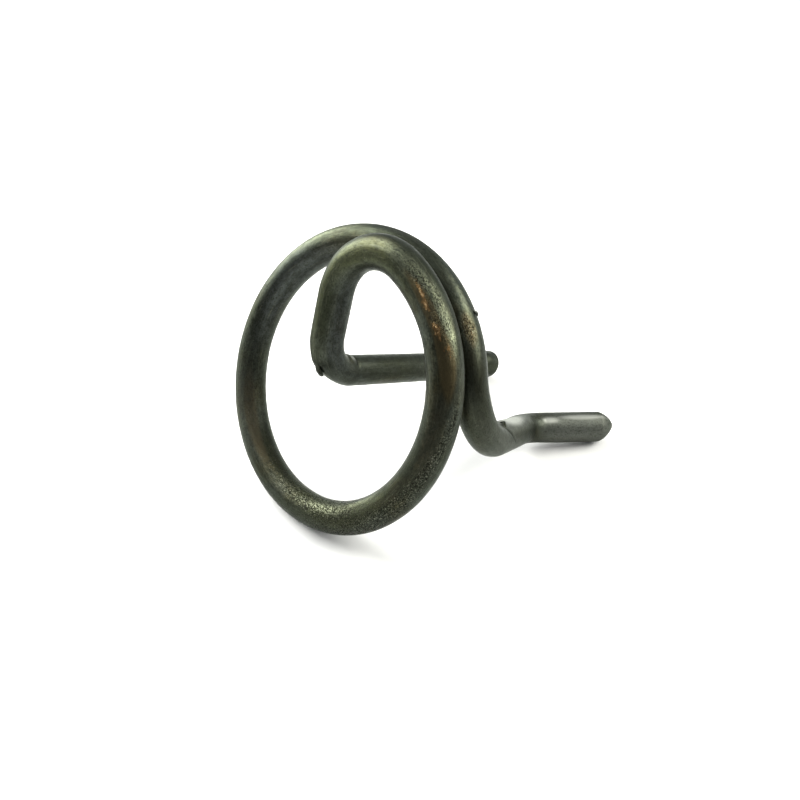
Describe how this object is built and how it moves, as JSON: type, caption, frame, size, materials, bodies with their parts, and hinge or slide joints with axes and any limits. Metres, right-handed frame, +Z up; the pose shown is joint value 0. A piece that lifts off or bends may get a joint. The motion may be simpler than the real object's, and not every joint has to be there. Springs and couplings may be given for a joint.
{
  "type": "torsion coil spring",
  "caption": "Torsion coil spring of round steel wire: a little over one turn, with an arm and long leg turned in to its axis, and a cranked outer leg.",
  "frame": {"origin": "on the surface that the spring rests on, under the middle of its bounding box", "axes": "+Z up, with the spring resting on the bottom of its coil and both leg tips; +Y rearwards, the way the long inner leg runs; +X towards the outer leg. The coil's axis lies in the YZ plane and dips 28.7 degrees to the rear"},
  "size_m": [0.0353, 0.0378, 0.029],
  "materials": {
    "spring_steel": "dark oil-tempered wire with fine draw lines, worn grey on the outside of its bends, with a few rust stains"
  },
  "bodies": {
    "outer_end": {"outer_leg": "spring_steel", "outer_leg_bend": "spring_steel", "outer_shank": "spring_steel", "outer_shank_bend": "spring_steel"},
    "coil_arc_01": {"coil_arc_01": "spring_steel"},
    "coil_arc_02": {"coil_arc_02": "spring_steel"},
    "coil_arc_03": {"coil_arc_03": "spring_steel"},
    "coil_arc_04": {"coil_arc_04": "spring_steel"},
    "coil_arc_05": {"coil_arc_05": "spring_steel"},
    "coil_arc_06": {"coil_arc_06": "spring_steel"},
    "coil_arc_07": {"coil_arc_07": "spring_steel"},
    "coil_arc_08": {"coil_arc_08": "spring_steel"},
    "coil_arc_09": {"coil_arc_09": "spring_steel"},
    "coil_arc_10": {"coil_arc_10": "spring_steel"},
    "coil_arc_11": {"coil_arc_11": "spring_steel"},
    "coil_arc_12": {"coil_arc_12": "spring_steel"},
    "coil_arc_13": {"coil_arc_13": "spring_steel"},
    "coil_arc_14": {"coil_arc_14": "spring_steel"},
    "inner_end": {"inner_arm_bend": "spring_steel", "inner_arm": "spring_steel", "inner_leg_bend": "spring_steel", "inner_leg": "spring_steel"}
  },
  "joints": [
    {"name": "coil_flex_01", "type": "hinge", "parent": "outer_end", "child": "coil_arc_01", "pos_m": [0.01152, -0.00523, 0.01807], "axis": [0, -0.8771, 0.4802], "range_deg": [0, 1.33], "stiffness_Nm_per_rad": 225},
    {"name": "coil_flex_02", "type": "hinge", "parent": "coil_arc_01", "child": "coil_arc_02", "pos_m": [0.00714, -0.00278, 0.02319], "axis": [0, -0.8771, 0.4802], "range_deg": [0, 1.33], "stiffness_Nm_per_rad": 225},
    {"name": "coil_flex_03", "type": "hinge", "parent": "coil_arc_02", "child": "coil_arc_03", "pos_m": [0.00057, -0.00169, 0.02585], "axis": [0, -0.8771, 0.4802], "range_deg": [0, 1.33], "stiffness_Nm_per_rad": 225},
    {"name": "coil_flex_04", "type": "hinge", "parent": "coil_arc_03", "child": "coil_arc_04", "pos_m": [-0.00655, -0.00228, 0.02543], "axis": [0, -0.8771, 0.4802], "range_deg": [0, 1.33], "stiffness_Nm_per_rad": 225},
    {"name": "coil_flex_05", "type": "hinge", "parent": "coil_arc_04", "child": "coil_arc_05", "pos_m": [-0.01248, -0.00448, 0.02206], "axis": [0, -0.8771, 0.4802], "range_deg": [0, 1.33], "stiffness_Nm_per_rad": 225},
    {"name": "coil_flex_06", "type": "hinge", "parent": "coil_arc_05", "child": "coil_arc_06", "pos_m": [-0.01575, -0.00782, 0.01663], "axis": [0, -0.8771, 0.4802], "range_deg": [0, 1.33], "stiffness_Nm_per_rad": 225},
    {"name": "coil_flex_07", "type": "hinge", "parent": "coil_arc_06", "child": "coil_arc_07", "pos_m": [-0.01555, -0.01153, 0.0105], "axis": [0, -0.8771, 0.4802], "range_deg": [0, 1.33], "stiffness_Nm_per_rad": 225},
    {"name": "coil_flex_08", "type": "hinge", "parent": "coil_arc_07", "child": "coil_arc_08", "pos_m": [-0.01193, -0.01477, 0.00524], "axis": [0, -0.8771, 0.4802], "range_deg": [0, 1.33], "stiffness_Nm_per_rad": 225},
    {"name": "coil_flex_09", "type": "hinge", "parent": "coil_arc_08", "child": "coil_arc_09", "pos_m": [-0.00578, -0.01681, 0.00217], "axis": [0, -0.8771, 0.4802], "range_deg": [0, 1.33], "stiffness_Nm_per_rad": 225},
    {"name": "coil_flex_10", "type": "hinge", "parent": "coil_arc_09", "child": "coil_arc_10", "pos_m": [0.00137, -0.01721, 0.0021], "axis": [0, -0.8771, 0.4802], "range_deg": [0, 1.33], "stiffness_Nm_per_rad": 225},
    {"name": "coil_flex_11", "type": "hinge", "parent": "coil_arc_10", "child": "coil_arc_11", "pos_m": [0.00777, -0.01594, 0.00508], "axis": [0, -0.8771, 0.4802], "range_deg": [0, 1.33], "stiffness_Nm_per_rad": 225},
    {"name": "coil_flex_12", "type": "hinge", "parent": "coil_arc_11", "child": "coil_arc_12", "pos_m": [0.01182, -0.01338, 0.01041], "axis": [0, -0.8771, 0.4802], "range_deg": [0, 1.33], "stiffness_Nm_per_rad": 225},
    {"name": "coil_flex_13", "type": "hinge", "parent": "coil_arc_12", "child": "coil_arc_13", "pos_m": [0.01252, -0.01024, 0.01681], "axis": [0, -0.8771, 0.4802], "range_deg": [0, 1.33], "stiffness_Nm_per_rad": 225},
    {"name": "coil_flex_14", "type": "hinge", "parent": "coil_arc_13", "child": "coil_arc_14", "pos_m": [0.00971, -0.00735, 0.02274], "axis": [0, -0.8771, 0.4802], "range_deg": [0, 1.33], "stiffness_Nm_per_rad": 225},
    {"name": "coil_flex_15", "type": "hinge", "parent": "coil_arc_14", "child": "inner_end", "pos_m": [0.00408, -0.00551, 0.02677], "axis": [0, -0.8771, 0.4802], "range_deg": [0, 1.33], "stiffness_Nm_per_rad": 225}
  ],
  "couplings": [
    {"joint": "coil_flex_02", "follows": "coil_flex_01", "ratio": 1},
    {"joint": "coil_flex_03", "follows": "coil_flex_01", "ratio": 1},
    {"joint": "coil_flex_04", "follows": "coil_flex_01", "ratio": 1},
    {"joint": "coil_flex_05", "follows": "coil_flex_01", "ratio": 1},
    {"joint": "coil_flex_06", "follows": "coil_flex_01", "ratio": 1},
    {"joint": "coil_flex_07", "follows": "coil_flex_01", "ratio": 1},
    {"joint": "coil_flex_08", "follows": "coil_flex_01", "ratio": 1},
    {"joint": "coil_flex_09", "follows": "coil_flex_01", "ratio": 1},
    {"joint": "coil_flex_10", "follows": "coil_flex_01", "ratio": 1},
    {"joint": "coil_flex_11", "follows": "coil_flex_01", "ratio": 1},
    {"joint": "coil_flex_12", "follows": "coil_flex_01", "ratio": 1},
    {"joint": "coil_flex_13", "follows": "coil_flex_01", "ratio": 1},
    {"joint": "coil_flex_14", "follows": "coil_flex_01", "ratio": 1},
    {"joint": "coil_flex_15", "follows": "coil_flex_01", "ratio": 1}
  ]
}
